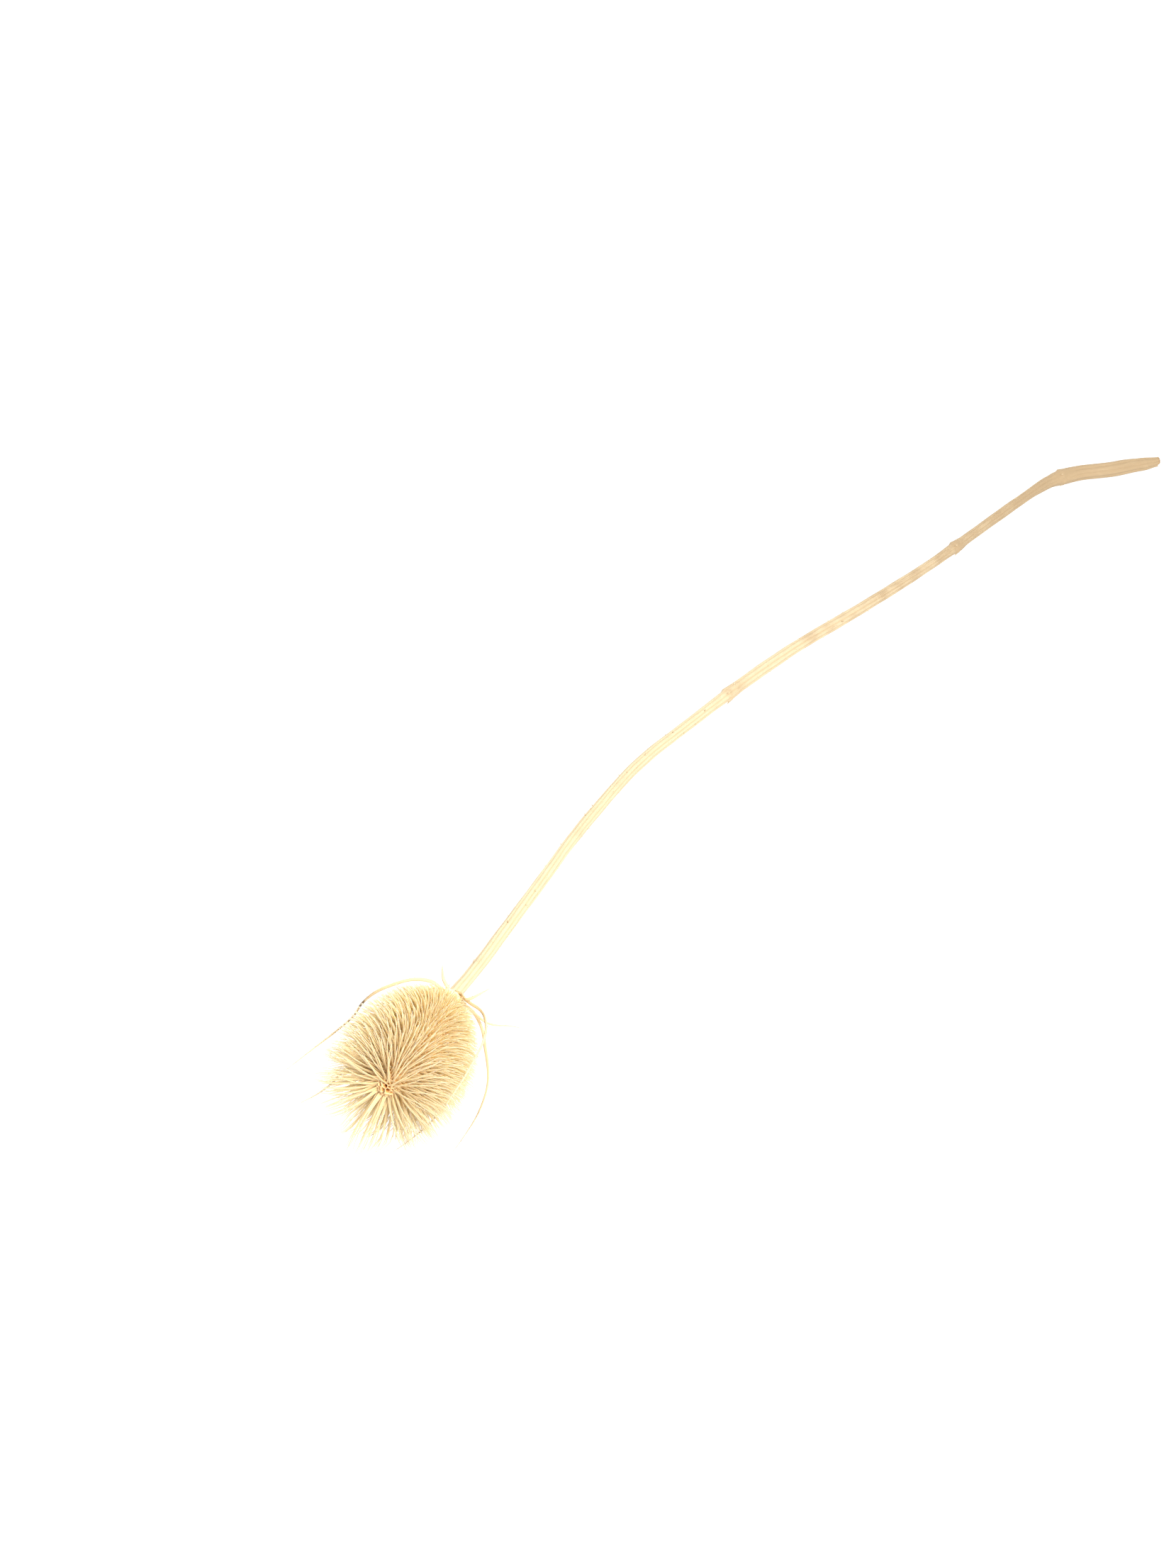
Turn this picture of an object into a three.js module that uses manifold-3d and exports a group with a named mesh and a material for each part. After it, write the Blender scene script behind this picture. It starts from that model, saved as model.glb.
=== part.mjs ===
// A dried teasel lying on a table: a long fluted stem, an ovoid seed head set with stiff awns, and the
// thin bracts that grow from the neck and curve round the head.
//
// Millimetres, +Z up, the table at z = 0. The stem runs along +X to its cut end and the head lies at -X.
// Everything is laid out from the neck, where the stem meets the head, and moved at the end so that the
// origin is under the middle of the whole teasel.

import * as THREE from 'three';
import { mergeVertices } from 'three/addons/utils/BufferGeometryUtils.js';
import Module from 'manifold-3d';

const wasm = await Module();
wasm.setup();

// ---------------------------------------------------------------- driving dimensions

const GAP = 0.3; // between pieces that meet

const NECK_HEIGHT = 22; // the head's axis above the table
const HEAD_TURN = 14.8; // degrees from -X towards -Y, the way the tip points
const HEAD_LENGTH = 51; // the solid ovoid, without its awns
const HEAD_RADIUS = 13;
const HEAD_BASE_RADIUS = 4.2; // the flat disc at the neck
const EGG_SKEW = 1.12; // above 1 puts the widest part nearer the tip
const EGG_FULLNESS = 0.62; // smaller is blunter at both ends
const HEAD_SIDES = 24;
const HEAD_RINGS = 14;

const AWN_COUNT = 340;
const AWN_RADIUS = 0.95; // where it leaves the ovoid
const AWN_SIDES = 4;
const AWN_ROOT = 1.6; // sunk into the ovoid
const BARE_SHARE = 0.03; // of the ovoid's area, left bare at the neck
const GOLDEN_ANGLE = Math.PI * (3 - Math.sqrt(5));

// How an awn stands, by its place from the neck (0) to the tip (1): its length, and its angle in degrees
// from the axis that points at the tip.
const AWN_STANCE = [
  { place: 0.0, length: 4.5, angle: 80 },
  { place: 0.1, length: 6.8, angle: 79 },
  { place: 0.2, length: 8.0, angle: 78 },
  { place: 0.4, length: 10.2, angle: 77 },
  { place: 0.6, length: 12.5, angle: 75 },
  { place: 0.8, length: 16.0, angle: 72 },
  { place: 0.93, length: 19.5, angle: 66 },
  { place: 1.0, length: 20.5, angle: 52 },
];

// The stem's line on the table, from the neck to the cut end. It bends sharply at its last node.
const STEM_LINE = [
  [0, 0], [18, 3.8], [40, 9.6], [75, 19], [99, 25.6], [125, 31.5], [148, 36], [165, 38], [190, 38.9],
  [225, 39.9], [249, 39.9], [272, 39.2], [317, 35.5], [367, 32.7], [416, 32.5], [445, 32.4], [464, 32],
  [475, 31.2], [484, 28.8], [493, 24.2], [500, 18.6], [507, 13.4], [514, 9], [527, 0.2],
];
const LAST_NODE_X = 483; // from here to the cut end the stem lies on the table
const LYING_HEIGHT = 4.2; // centre of the stem there
const CUT_END_HEIGHT = 3.6;
const STEM_SIDES = 12;
const STEM_STEPS = 90;
const FLUTE_DEPTH = 0.07; // of the radius, on every other side
const CUT_SLANT = 4.5; // how far the cut end's top leans back
const CUT_STEPS = 1.5; // of the stem's steps, over which the slant comes in

// The stem's radius by distance along it, with a swelling at each node.
const STEM_GIRTH = [
  { along: 0, radius: 2.4 }, { along: 12, radius: 2.25 }, { along: 110, radius: 2.2 },
  { along: 215, radius: 2.3 }, { along: 226, radius: 3.3 }, { along: 234, radius: 2.7 },
  { along: 300, radius: 2.6 }, { along: 387, radius: 2.3 }, { along: 395, radius: 2.9 },
  { along: 402, radius: 2.35 }, { along: 462, radius: 2.4 }, { along: 482, radius: 2.9 },
  { along: 489, radius: 3.8 }, { along: 497, radius: 3.7 }, { along: 520, radius: 3.65 },
  { along: 533, radius: 3.2 }, { along: 541, radius: 2.4 },
];

const PRICKLE_COUNT = 30;
const PRICKLE_SPAN = [30, 300]; // along the stem
const PRICKLE_LENGTH = 2.4;
const PRICKLE_RADIUS = 0.55;
const PRICKLE_LEAN = 0.4; // towards the cut end, at the tip
const PRICKLE_SEAT = 0.7; // of the stem's radius, where its root sits

// Each bract's line: [distance along the head's axis from the neck, distance from the axis, angle round
// the axis]. The angle is 0 at the top and +90 on the -Y side.
const BRACTS = [
  {
    name: 'bract_left_long', width: 1.9,
    line: [[-0.8, 3.3, -75], [-2.3, 9, -75], [0.8, 15, -75], [8.3, 20.3, -75], [14.8, 23.3, -75],
      [21.2, 24.5, -75], [28, 24.2, -75], [37.2, 25.8, -75], [49.1, 28.5, -75], [63, 31.6, -75]],
  },
  {
    name: 'bract_right_flank', width: 1.8,
    line: [[-0.8, 3.3, 60], [2.2, 9, 76], [5.3, 15, 78], [11.6, 19.7, 78], [20, 22.7, 78],
      [31.6, 24.3, 78], [40.5, 24.9, 78], [52.4, 25.1, 78]],
  },
  {
    name: 'bract_right_arc', width: 1.8,
    line: [[-0.8, 3.3, 125], [-1.5, 9, 125], [1.5, 15, 125], [7.7, 20.3, 125], [14, 25.1, 125],
      [20.4, 28.4, 125], [31.9, 30.9, 125], [45.8, 31.2, 125], [52.2, 30.9, 125]],
  },
  {
    name: 'bract_right_spike', width: 1.6,
    line: [[-0.8, 3.3, 95], [1.2, 9, 105], [1.3, 16.3, 110], [-2.7, 22.6, 110], [-5.4, 27.9, 110]],
  },
  {
    name: 'bract_right_short', width: 1.6,
    line: [[-0.8, 3.3, 30], [0.4, 6, 50], [2.9, 8.5, 60], [2.7, 10.8, 60], [-1.6, 16.9, 60]],
  },
  {
    name: 'bract_top_short', width: 1.6,
    line: [[-0.8, 3.3, -25], [-2.2, 6.8, -35], [-4, 8.8, -35], [-6.1, 10.6, -35]],
  },
  {
    name: 'bract_left_stub', width: 1.6,
    line: [[-0.3, 3.2, -110], [-3.5, 3.5, -100], [-7, 3.9, -95]],
  },
  {
    name: 'bract_left_under', width: 1.8,
    line: [[-0.8, 3.3, -150], [-2, 9, -140], [3, 15, -130], [12, 21.5, -124], [24, 26.3, -121],
      [36.2, 29.3, -120], [41, 30.2, -120], [46, 33.4, -120], [49.9, 39, -120]],
  },
  {
    name: 'bract_right_under', width: 1.7,
    line: [[-0.8, 3.3, 165], [-4, 9, 162], [-3, 14, 160], [4, 20, 157], [16, 23.2, 154], [28, 24, 152],
      [40, 23, 151], [52, 20.1, 150], [65, 16.1, 150]],
  },
];
const BRACT_THICKNESS = 0.42; // of the width
const BRACT_SIDES = 6;
const BRACT_STEPS = 16;
const BRACT_TIP = 0.16; // of the width, at the fine end
const BRACT_FULL = 1.25; // above 1 keeps the full width for a stretch from the neck
const BRACT_TAPER = 0.7; // below 1 keeps the width and then narrows fast

// ---------------------------------------------------------------- shared helpers

// The value between the two nearest rows of a table, eased so that no corner shows.
function tableValue(rows, place, key, field) {
  const last = rows[rows.length - 1];
  if (place <= rows[0][key]) return rows[0][field];
  if (place >= last[key]) return last[field];
  const next = rows.findIndex((row) => row[key] > place);
  const from = rows[next - 1];
  const to = rows[next];
  const part = (place - from[key]) / (to[key] - from[key]);
  return THREE.MathUtils.lerp(from[field], to[field], THREE.MathUtils.smoothstep(part, 0, 1));
}

// A closed bar along a curve. shape(s, angle) gives the section's reach along `across` and `up` and a
// shift along the curve, and across(s) gives the section's level direction.
function bar(curve, sides, steps, shape, across) {
  const geometry = new THREE.CylinderGeometry(1, 1, 1, sides, steps);
  const places = geometry.attributes.position;
  for (let i = 0; i < places.count; i += 1) {
    const s = places.getY(i) + 0.5;
    const reach = Math.hypot(places.getX(i), places.getZ(i)); // 0 at the middle of an end cap
    const angle = Math.atan2(places.getX(i), places.getZ(i));
    const along = curve.getTangentAt(s);
    const level = across(s).clone().projectOnPlane(along).normalize();
    const up = new THREE.Vector3().crossVectors(level, along).normalize();
    const section = shape(s, angle);
    const place = curve.getPointAt(s)
      .addScaledVector(level, reach * section.across)
      .addScaledVector(up, reach * section.up)
      .addScaledVector(along, reach * (section.shift ?? 0));
    places.setXYZ(i, place.x, place.y, place.z);
  }
  return geometry;
}

function solidOf(geometry) {
  const bare = geometry.clone();
  bare.deleteAttribute('normal');
  bare.deleteAttribute('uv');
  const merged = mergeVertices(bare, 1e-4);
  return new wasm.Manifold(new wasm.Mesh({
    numProp: 3,
    vertProperties: new Float32Array(merged.attributes.position.array),
    triVerts: new Uint32Array(merged.index.array),
  }));
}

function geometryOf(solid) {
  const mesh = solid.getMesh();
  const geometry = new THREE.BufferGeometry();
  geometry.setAttribute('position', new THREE.BufferAttribute(mesh.vertProperties, 3));
  geometry.setIndex(new THREE.BufferAttribute(mesh.triVerts, 1));
  geometry.computeVertexNormals();
  return geometry;
}

// A spike from root to tip.
function spike(root, tip, radius, sides) {
  const line = tip.clone().sub(root);
  const cone = new THREE.ConeGeometry(radius, line.length(), sides);
  cone.translate(0, line.length() / 2, 0);
  const turn = new THREE.Quaternion().setFromUnitVectors(new THREE.Vector3(0, 1, 0), line.normalize());
  return cone.applyQuaternion(turn).translate(root.x, root.y, root.z);
}

// ---------------------------------------------------------------- the head's own directions

const turn = THREE.MathUtils.degToRad(HEAD_TURN);
const UP = new THREE.Vector3(0, 0, 1);
const NECK = new THREE.Vector3(0, 0, NECK_HEIGHT);
const TIPWARD = new THREE.Vector3(-Math.cos(turn), -Math.sin(turn), 0);
const SIDEWARD = new THREE.Vector3(Math.sin(turn), -Math.cos(turn), 0);

function outward(angle) {
  return UP.clone().multiplyScalar(Math.cos(angle)).addScaledVector(SIDEWARD, Math.sin(angle));
}

function roundwards(angle) {
  return UP.clone().multiplyScalar(-Math.sin(angle)).addScaledVector(SIDEWARD, Math.cos(angle));
}

function headPoint(along, away, angle) {
  return NECK.clone().addScaledVector(TIPWARD, along).addScaledVector(outward(angle), away);
}

// ---------------------------------------------------------------- stem

function stemHeight(x) {
  if (x < LAST_NODE_X) return THREE.MathUtils.lerp(NECK_HEIGHT, LYING_HEIGHT, x / LAST_NODE_X);
  const end = STEM_LINE[STEM_LINE.length - 1][0];
  return THREE.MathUtils.mapLinear(x, LAST_NODE_X, end, LYING_HEIGHT, CUT_END_HEIGHT);
}

function stemCurve() {
  const points = STEM_LINE.map(([x, y]) => new THREE.Vector3(x, y, stemHeight(x)));
  const first = points[1].clone().sub(points[0]).normalize();
  points[0].addScaledVector(first, GAP);
  const curve = new THREE.CatmullRomCurve3(points, false, 'centripetal');
  curve.arcLengthDivisions = 2000;
  return curve;
}

function stemGeometry() {
  const curve = stemCurve();
  const length = curve.getLength();
  const section = (s, angle) => {
    const ridge = Math.cos((angle * STEM_SIDES) / 2);
    const radius = tableValue(STEM_GIRTH, s * length, 'along', 'radius') * (1 + FLUTE_DEPTH * ridge);
    const slant = THREE.MathUtils.smoothstep(s, 1 - CUT_STEPS / STEM_STEPS, 1) * CUT_SLANT;
    const level = radius * Math.sin(angle);
    const up = radius * Math.cos(angle);
    return { across: level, up, shift: (-slant * Math.cos(angle)) / 2 };
  };
  let stem = solidOf(bar(curve, STEM_SIDES, STEM_STEPS, section, (s) => {
    const along = curve.getTangentAt(s);
    return new THREE.Vector3(along.y, -along.x, 0);
  }));
  for (let i = 0; i < PRICKLE_COUNT; i += 1) {
    const along = THREE.MathUtils.lerp(...PRICKLE_SPAN, (i + 0.5) / PRICKLE_COUNT);
    const s = along / length;
    const tangent = curve.getTangentAt(s);
    const out = new THREE.Vector3(0, 0, 1).projectOnPlane(tangent).normalize()
      .applyAxisAngle(tangent, i * GOLDEN_ANGLE);
    const seat = PRICKLE_SEAT * tableValue(STEM_GIRTH, along, 'along', 'radius');
    const root = curve.getPointAt(s).addScaledVector(out, seat);
    const tip = root.clone().addScaledVector(out, PRICKLE_LENGTH).addScaledVector(tangent, PRICKLE_LEAN);
    stem = stem.add(solidOf(spike(root, tip, PRICKLE_RADIUS, 4)));
  }
  return geometryOf(stem);
}

// ---------------------------------------------------------------- bracts

function bractCurve(line) {
  const points = line.map(([along, away, angle]) => headPoint(along, away, THREE.MathUtils.degToRad(angle)));
  return new THREE.CatmullRomCurve3(points, false, 'centripetal');
}

function bractGeometry({ line, width }) {
  const angles = line.map((row) => THREE.MathUtils.degToRad(row[2]));
  const section = (s, angle) => {
    const taper = Math.max(BRACT_TIP, Math.min(1, BRACT_FULL * (1 - s) ** BRACT_TAPER));
    const half = (width / 2) * taper;
    return { across: half * Math.sin(angle), up: half * BRACT_THICKNESS * Math.cos(angle) };
  };
  return bar(bractCurve(line), BRACT_SIDES, BRACT_STEPS, section, (s) => {
    const place = s * (angles.length - 1);
    const row = Math.min(Math.floor(place), angles.length - 2);
    return roundwards(THREE.MathUtils.lerp(angles[row], angles[row + 1], place - row));
  });
}

// ---------------------------------------------------------------- seed head

// The ovoid's radius, from the neck (0) to the tip (1).
function ovoidRadius(place) {
  const egg = HEAD_RADIUS * Math.sin(Math.PI * place ** EGG_SKEW) ** EGG_FULLNESS;
  return Math.max(egg, place < 0.3 ? HEAD_BASE_RADIUS : 0);
}

function ovoidGeometry() {
  const profile = [new THREE.Vector2(0, 0), new THREE.Vector2(HEAD_BASE_RADIUS, 0)];
  for (let ring = 1; ring < HEAD_RINGS; ring += 1) {
    const place = (1 - Math.cos((Math.PI * ring) / HEAD_RINGS)) / 2; // closer together at the ends
    profile.push(new THREE.Vector2(ovoidRadius(place), place * HEAD_LENGTH));
  }
  profile.push(new THREE.Vector2(0, HEAD_LENGTH));
  const ovoid = new THREE.LatheGeometry(profile, HEAD_SIDES);
  const upright = new THREE.Matrix4().makeBasis(outward(0), TIPWARD, SIDEWARD);
  return ovoid.applyMatrix4(upright.setPosition(NECK));
}

// Evenly spread places on the ovoid: equal areas along it and the golden angle round it.
function awnPlaces() {
  const slices = 400;
  const area = [0];
  for (let i = 0; i < slices; i += 1) area.push(area[i] + ovoidRadius((i + 0.5) / slices));
  const places = [];
  for (let i = 0; i < AWN_COUNT; i += 1) {
    const share = THREE.MathUtils.lerp(BARE_SHARE, 1, (i + 0.5) / AWN_COUNT);
    const wanted = area[slices] * share;
    places.push({ place: area.findIndex((sum) => sum >= wanted) / slices, angle: i * GOLDEN_ANGLE });
  }
  return places;
}

function awnLine({ place, angle }) {
  const lean = THREE.MathUtils.degToRad(tableValue(AWN_STANCE, place, 'place', 'angle'));
  const pointing = outward(angle).multiplyScalar(Math.sin(lean)).addScaledVector(TIPWARD, Math.cos(lean));
  const skin = headPoint(place * HEAD_LENGTH, ovoidRadius(place), angle);
  const tip = skin.clone().addScaledVector(pointing, tableValue(AWN_STANCE, place, 'place', 'length'));
  const root = skin.clone().addScaledVector(pointing, -AWN_ROOT);
  if (tip.z < 0) tip.lerp(root, tip.z / (tip.z - root.z)); // an awn under the head stops at the table
  return new THREE.Line3(root, tip);
}

// Awns that a bract lies against are pushed aside by it, so their places stay empty.
function headGeometry(bracts) {
  const lying = bracts.flatMap(({ line, width }) => bractCurve(line).getSpacedPoints(40)
    .map((point) => ({ point, room: width / 2 + AWN_RADIUS + GAP })));
  let head = solidOf(ovoidGeometry());
  for (const where of awnPlaces()) {
    const awn = awnLine(where);
    const nearest = new THREE.Vector3();
    const pushed = lying.some(({ point, room }) => {
      awn.closestPointToPoint(point, true, nearest);
      return nearest.distanceTo(point) < room;
    });
    if (!pushed) head = head.add(solidOf(spike(awn.start, awn.end, AWN_RADIUS, AWN_SIDES)));
  }
  return geometryOf(head);
}

// ---------------------------------------------------------------- the teasel

const teasel = new THREE.Group();

function addPiece(name, geometry, colour, roughness) {
  const piece = new THREE.Mesh(geometry, new THREE.MeshStandardMaterial({
    color: colour, roughness, metalness: 0, flatShading: true,
  }));
  piece.name = name;
  teasel.add(piece);
}

addPiece('stem', stemGeometry(), 0xe9d6a8, 0.7);
addPiece('seed_head', headGeometry(BRACTS), 0xdcb981, 0.8);
for (const bract of BRACTS) addPiece(bract.name, bractGeometry(bract), 0xe6cd98, 0.7);

const box = new THREE.Box3().setFromObject(teasel, true);
const middle = box.getCenter(new THREE.Vector3());
teasel.position.set(-middle.x, -middle.y, -box.min.z);
teasel.updateMatrixWorld(true);

export default teasel;
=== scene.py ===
"""A dried teasel lying on a pale table: a fluted stem, bracts, and a seed head of awns over its cells.

Lengths are millimetres, turned into metres where a mesh is made. Shapes are laid out from the neck, where
the stem meets the head.
"""
import math

import bmesh
import bpy
import numpy as np
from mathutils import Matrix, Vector, noise


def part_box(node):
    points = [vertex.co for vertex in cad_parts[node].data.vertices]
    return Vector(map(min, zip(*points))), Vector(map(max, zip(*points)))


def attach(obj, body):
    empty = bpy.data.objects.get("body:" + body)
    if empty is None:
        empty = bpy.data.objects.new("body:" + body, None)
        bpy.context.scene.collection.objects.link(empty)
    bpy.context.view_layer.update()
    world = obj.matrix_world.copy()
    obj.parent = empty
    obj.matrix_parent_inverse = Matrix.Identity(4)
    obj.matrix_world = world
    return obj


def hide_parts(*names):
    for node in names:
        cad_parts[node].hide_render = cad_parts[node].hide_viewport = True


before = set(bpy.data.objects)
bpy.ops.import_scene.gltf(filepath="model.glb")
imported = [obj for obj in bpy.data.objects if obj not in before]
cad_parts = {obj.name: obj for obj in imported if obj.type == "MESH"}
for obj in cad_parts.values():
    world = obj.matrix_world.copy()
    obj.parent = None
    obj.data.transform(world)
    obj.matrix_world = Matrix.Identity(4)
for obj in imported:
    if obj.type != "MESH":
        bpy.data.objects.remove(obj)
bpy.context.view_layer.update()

MM = 0.001
BODY = "root"
SEED = 7
noise.seed_set(SEED)  # until it is set, noise_vector follows the clock
UP = np.array([0.0, 0.0, 1.0])

# ---------------------------------------------------------------- places, from the frame

# The neck lies this far inside the stem's box, from its low X, high Y and high Z faces.
NECK_INSET = (0.21, 44.18, 2.70)
STEM_LOW, STEM_HIGH = (np.array(corner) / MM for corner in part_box("stem"))
NECK = np.array([STEM_LOW[0] + NECK_INSET[0], STEM_HIGH[1] - NECK_INSET[1], STEM_HIGH[2] - NECK_INSET[2]])

HEAD_TURN = math.radians(14.8)  # from -X towards -Y
TIPWARD = np.array([-math.cos(HEAD_TURN), -math.sin(HEAD_TURN), 0.0])
SIDEWARD = np.array([math.sin(HEAD_TURN), -math.cos(HEAD_TURN), 0.0])

# ---------------------------------------------------------------- measures of the head

HEAD_LENGTH = 51.0
HEAD_RADIUS = 13.0
HEAD_BASE_RADIUS = 4.2
EGG_SKEW = 1.12
EGG_FULLNESS = 0.62
BARE_SHARE = 0.03  # of the ovoid's area, left bare at the neck

AWN_COUNT = 2300
GOLDEN_ANGLE = math.pi * (3 - math.sqrt(5))
OPEN_CELLS = 9  # wide empty cells at the tip
OPEN_CELLS_ROOM = 20  # in awns that would grow there
TABLE_EASE = 4.0  # awns bend over this height as they come down to the table
TABLE_SINK = 0.7  # and would at last lie this far below it, if they were long enough

# Place from the neck (0) to the tip (1): awn length, and its angle in degrees from the tipward axis.
AWN_LENGTHS = [
    (0.0, 4.5), (0.1, 7.0), (0.2, 8.3), (0.4, 10.5), (0.6, 13.0), (0.8, 16.8), (0.93, 20.6), (1.0, 22.0),
]
AWN_ANGLES = [
    (0.0, 80.0), (0.2, 78.0), (0.4, 77.0), (0.6, 75.0), (0.8, 72.0), (0.9, 69.0), (0.96, 62.0), (1.0, 52.0),
]
AWN_WANDER = 4.0  # degrees that neighbouring awns lean away together
AWN_WANDER_TIP = 9.0  # and as much more at the tip
AWN_WANDER_REACH = 5.5  # over which that changes
AWN_SCATTER = 2.5  # degrees of spread between single awns
SNAPPED_SHARE = 0.035  # of the awns, broken off short

# The awns near the tip lie back on the upper side, most of all at this angle round the axis, and they are
# shorter there. Those opposite point forward and are longer.
LYING_BACK = 19.0  # degrees
LYING_BACK_SIDE = math.radians(28)
LYING_BACK_FROM = (0.58, 0.88)  # the place where it sets in, and where it is full
UPPER_SHORTER = 0.24  # of the length
UNDER_FORWARD = 6.0  # degrees
UNDER_LONGER = 0.20  # of the length

# Neighbouring awns lean together in tufts: awns to a tuft, and the pull in general and on the under side.
TUFT_SIZE = 10
TUFT_PULL = (0.12, 0.62)

# An awn along its length, from its scoop-shaped foot to its point: width, depth of the keel, thickness.
AWN_SECTION = [
    (0.00, 1.55, 0.50, 0.30),
    (0.07, 1.42, 0.46, 0.30),
    (0.15, 1.05, 0.35, 0.30),
    (0.24, 0.72, 0.22, 0.30),
    (0.35, 0.53, 0.12, 0.29),
    (0.48, 0.44, 0.08, 0.27),
    (0.62, 0.37, 0.06, 0.24),
    (0.76, 0.30, 0.04, 0.20),
    (0.89, 0.20, 0.02, 0.14),
    (1.00, 0.05, 0.00, 0.05),
]
AWN_FOOT = 1.0  # how deep the foot stands in the ovoid
CELL_DEPTH = 1.5
CELL_RIM = 0.5
CELL_RIM_WIDTH = 0.36  # of the pitch between cells
CORE_AROUND = 300
CORE_ROWS = 190
BARE_NECK = (0.02, 0.03)  # where the cells set in, and over how much of the length
OPEN_TIP = (0.955, 0.02)  # the same for the deep open cells

# The head's awns are four pieces, from the neck to the tip.
AWN_BANDS = [("awns_neck", 0.0), ("awns_lower", 0.3), ("awns_upper", 0.56), ("awns_tip", 0.8)]

# ---------------------------------------------------------------- measures of the stem

STEM_LINE = [
    (0, 0), (18, 3.8), (40, 9.6), (75, 19), (99, 25.6), (125, 31.5), (148, 36), (165, 38), (190, 38.9),
    (225, 39.9), (249, 39.9), (272, 39.2), (317, 35.5), (367, 32.7), (416, 32.5), (445, 32.4), (464, 32),
    (475, 31.2), (484, 28.8), (493, 24.2), (500, 18.6), (507, 13.4), (514, 9), (527, 0.2),
]
LAST_NODE_X = 483.0
LYING_HEIGHT = 4.2
CUT_END_HEIGHT = 3.6
STEM_START = 0.3
STEM_SIDES = 80
STEM_STEPS = 600
RIBS = 8
RIB_DEPTH = 0.15
CUT_SLANT = 1.8  # the upper side of the cut end stands out further
CUT_REACH = 9.0  # of the stem, over which the slant comes in
CUT_RAGGED = 0.25
NODE_CALM = 9.0  # ribs fade out over this length at a node
NODE_RAGGED = 1.6  # and the surface is ragged over this one
STEM_STRIPS = 8  # the stem lies on the bake sheet as this many strips, below a band for thorns and ends

# Radius by distance along the stem. Each node has a steep lip on the side of the head.
STEM_GIRTH = [
    (0, 2.55), (12, 2.35), (110, 2.3), (212, 2.35), (223.4, 2.55), (224.6, 3.05), (227.5, 2.95), (234, 2.75),
    (245, 2.75), (300, 2.65), (385, 2.35), (393.0, 2.5), (394.2, 3.0), (397, 2.85), (404, 2.4), (462, 2.5),
    (480, 2.95), (486.4, 3.45), (487.6, 3.95), (491, 3.85), (499, 3.75), (520, 3.75), (533, 3.3), (541, 2.5),
]
NODES = [224.8, 394.4, 487.8]
PRICKLE_COUNT = 74
PRICKLE_SPAN = (16.0, 335.0)  # along the stem
PRICKLE_LENGTHS = (0.5, 1.35)
PRICKLE_RADII = (0.28, 0.5)

# ---------------------------------------------------------------- measures of the bracts

# Width, then the line: along the head's axis from the neck, away from the axis, and degrees round it, with
# 0 at the top and +90 on the -Y side.
BRACTS = {
    "bract_left_long": (1.9, [
        (-0.8, 3.3, -75), (-2.3, 9, -75), (0.8, 15, -75), (8.3, 20.3, -75), (14.8, 23.3, -75),
        (21.2, 24.5, -75), (28, 24.2, -75), (37.2, 25.8, -75), (49.1, 28.5, -75), (63, 31.6, -75)]),
    "bract_right_flank": (1.8, [
        (-0.8, 3.3, 60), (2.2, 9, 76), (5.3, 15, 78), (11.6, 19.7, 78), (20, 22.7, 78), (31.6, 24.3, 78),
        (40.5, 24.9, 78), (52.4, 25.1, 78)]),
    "bract_right_arc": (1.8, [
        (-0.8, 3.3, 125), (-1.5, 9, 125), (1.5, 15, 125), (7.7, 20.3, 125), (14, 25.1, 125),
        (20.4, 28.4, 125), (31.9, 30.9, 125), (45.8, 31.2, 125), (52.2, 30.9, 125)]),
    "bract_right_spike": (1.6, [
        (-0.8, 3.3, 95), (1.2, 9, 105), (1.3, 16.3, 110), (-2.7, 22.6, 110), (-5.4, 27.9, 110)]),
    "bract_right_short": (1.6, [
        (-0.8, 3.3, 30), (0.4, 6, 50), (2.9, 8.5, 60), (2.7, 10.8, 60), (-1.6, 16.9, 60)]),
    "bract_top_short": (1.6, [
        (-0.8, 3.3, -25), (-2.2, 6.8, -35), (-4, 8.8, -35), (-6.1, 10.6, -35)]),
    "bract_left_stub": (1.6, [
        (-0.3, 3.2, -110), (-3.5, 3.5, -100), (-7, 3.9, -95)]),
    "bract_left_under": (1.8, [
        (-0.8, 3.3, -150), (-2, 9, -140), (3, 15, -130), (12, 21.5, -124), (24, 26.3, -121),
        (36.2, 29.3, -120), (41, 30.2, -120), (46, 33.4, -120), (49.9, 39, -120)]),
    "bract_right_under": (1.7, [
        (-0.8, 3.3, 165), (-4, 9, 162), (-3, 14, 160), (4, 20, 157), (16, 23.2, 154), (28, 24, 152),
        (40, 23, 151), (52, 20.1, 150), (65, 16.1, 150)]),
}
# Dark marks on a blade: share of its length, reach along it, depth of the darkening, and 1 where it keeps to
# one edge or 0 where it takes the whole width. Those over the whole width are stains; the long ones kept to
# one edge of bract_left_long are painted shade along that edge.
BRACT_STAINS_AND_EDGE_SHADE = {
    "bract_left_long": [(0.465, 1.3, 1.1, 0), (0.40, 6.0, 0.5, 1), (0.60, 8.0, 0.2, 1)],
    "bract_left_under": [(0.70, 1.8, 0.9, 0), (0.76, 1.0, 0.8, 0)],
    "bract_right_short": [(0.93, 1.4, 0.4, 0)],
}
BRACT_THICKNESS = 0.40  # of the width
BRACT_SIDES = 12
BRACT_STEP = 0.8  # between its rings
BRACT_TIP = 0.13  # of the width, at the point
BRACT_FULL = 1.25  # above 1 keeps the full width for longer
BRACT_TAPER = 0.7
BRACT_HAIR_STEP = 2.1
BRACT_CLEARANCE = 0.8  # that awns keep from a bract's edge

# ---------------------------------------------------------------- camera and light

CAMERA_FROM_NECK = np.array([-464.0, -430.5, 569.6])
CAMERA_HEADING = 38.5  # degrees from +X, on the table
CAMERA_DROP = 37.0  # degrees below the level
CAMERA_ANGLE = 36.0  # degrees of view, from the picture's foot to its top

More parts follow.
